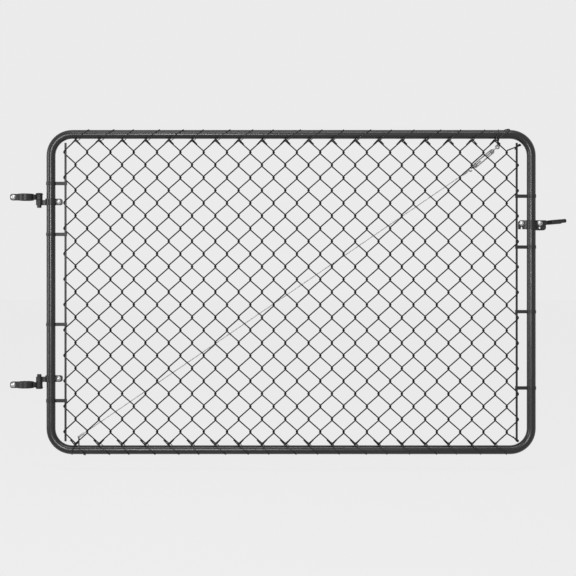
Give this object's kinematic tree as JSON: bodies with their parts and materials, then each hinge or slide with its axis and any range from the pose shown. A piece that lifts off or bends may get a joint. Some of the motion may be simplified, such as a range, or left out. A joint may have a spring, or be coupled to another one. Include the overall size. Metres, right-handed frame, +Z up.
{
  "type": "chain link gate",
  "caption": "Chain link gate leaf: rounded tube frame, woven diamond wire fabric on tension bars and ties, diagonal truss cable, strap hinges for a round post and a swinging fork latch.",
  "frame": {"origin": "on the axis of the hinge post, at mid height of the lower post strap", "axes": "+Z up along the post, +X from the hinge post to the latch side with the gate closed, the front of the gate faces -Y"},
  "size_m": [1.981, 0.074, 1.1668],
  "materials": {
    "black_coating": "semi-gloss black polymer coat",
    "zinc": "bright zinc plate"
  },
  "bodies": {
    "post_side": {"upper_post_strap": "black_coating", "lower_post_strap": "black_coating", "upper_post_bolt": "zinc", "lower_post_bolt": "zinc", "upper_hinge_pin": "black_coating", "lower_hinge_pin": "black_coating"},
    "leaf": {"top_rail": "black_coating", "bottom_rail": "black_coating", "hinge_stile": "black_coating", "latch_stile": "black_coating", "corner_bends": "black_coating", "fabric_hinge_half": "black_coating", "fabric_latch_half": "black_coating", "hinge_tension_bar": "black_coating", "latch_tension_bar": "black_coating", "hinge_band_1": "black_coating", "hinge_band_2": "black_coating", "hinge_band_3": "black_coating", "hinge_band_4": "black_coating", "latch_band_1": "black_coating", "latch_band_2": "black_coating", "latch_band_3": "black_coating", "latch_band_4": "black_coating", "top_ties": "black_coating", "bottom_ties": "black_coating", "upper_gate_strap": "black_coating", "lower_gate_strap": "black_coating", "upper_gate_bolt": "zinc", "lower_gate_bolt": "zinc", "latch_collar_front": "black_coating", "latch_collar_back": "black_coating", "latch_clamp_bolt": "zinc", "latch_pivot_bolt": "zinc", "truss_cable": "zinc", "cable_head_loop": "zinc", "turnbuckle_body": "zinc", "turnbuckle_hook": "zinc", "turnbuckle_eye": "zinc"},
    "fork": {"latch_fork": "black_coating"}
  },
  "joints": [
    {"name": "gate_swing", "type": "hinge", "parent": "post_side", "child": "leaf", "pos_m": [0.048, 0, 0], "axis": [0, 0, 1], "range_deg": [-90, 90]},
    {"name": "fork_flip", "type": "hinge", "parent": "leaf", "child": "fork", "pos_m": [1.83805, 0, 0.5773], "axis": [0, -1, 0], "range_deg": [0, 84]}
  ]
}
